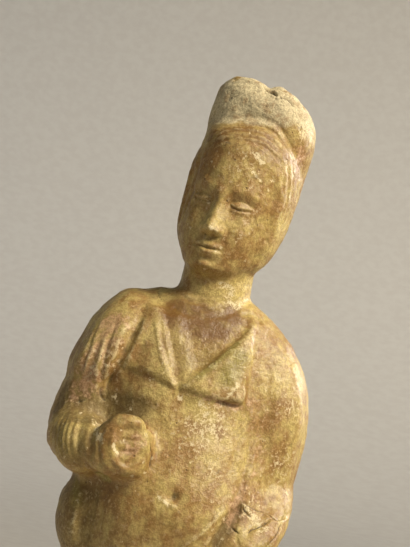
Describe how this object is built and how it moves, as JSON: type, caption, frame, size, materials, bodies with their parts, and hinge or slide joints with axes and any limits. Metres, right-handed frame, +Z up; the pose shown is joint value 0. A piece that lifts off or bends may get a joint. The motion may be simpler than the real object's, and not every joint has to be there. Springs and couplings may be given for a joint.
{
  "type": "groom figure",
  "caption": "Standing glazed earthenware groom in a crowned cloth cap and an open coat with wide lapels, one fist raised to the chest and one low at the waist, on a low base.",
  "frame": {"origin": "middle of the base's flat underside", "axes": "+Z up through the head, -Y the way the figure faces, +X the figure's left hand"},
  "size_m": [0.0786, 0.0587, 0.2807],
  "materials": {
    "glazed_earthenware": "worn straw-yellow lead glaze over a pinkish body, semi-gloss, crazed, speckled, bare and chalky on the crown"
  },
  "bodies": {
    "root": {"groom_figure": "glazed_earthenware"}
  },
  "joints": []
}
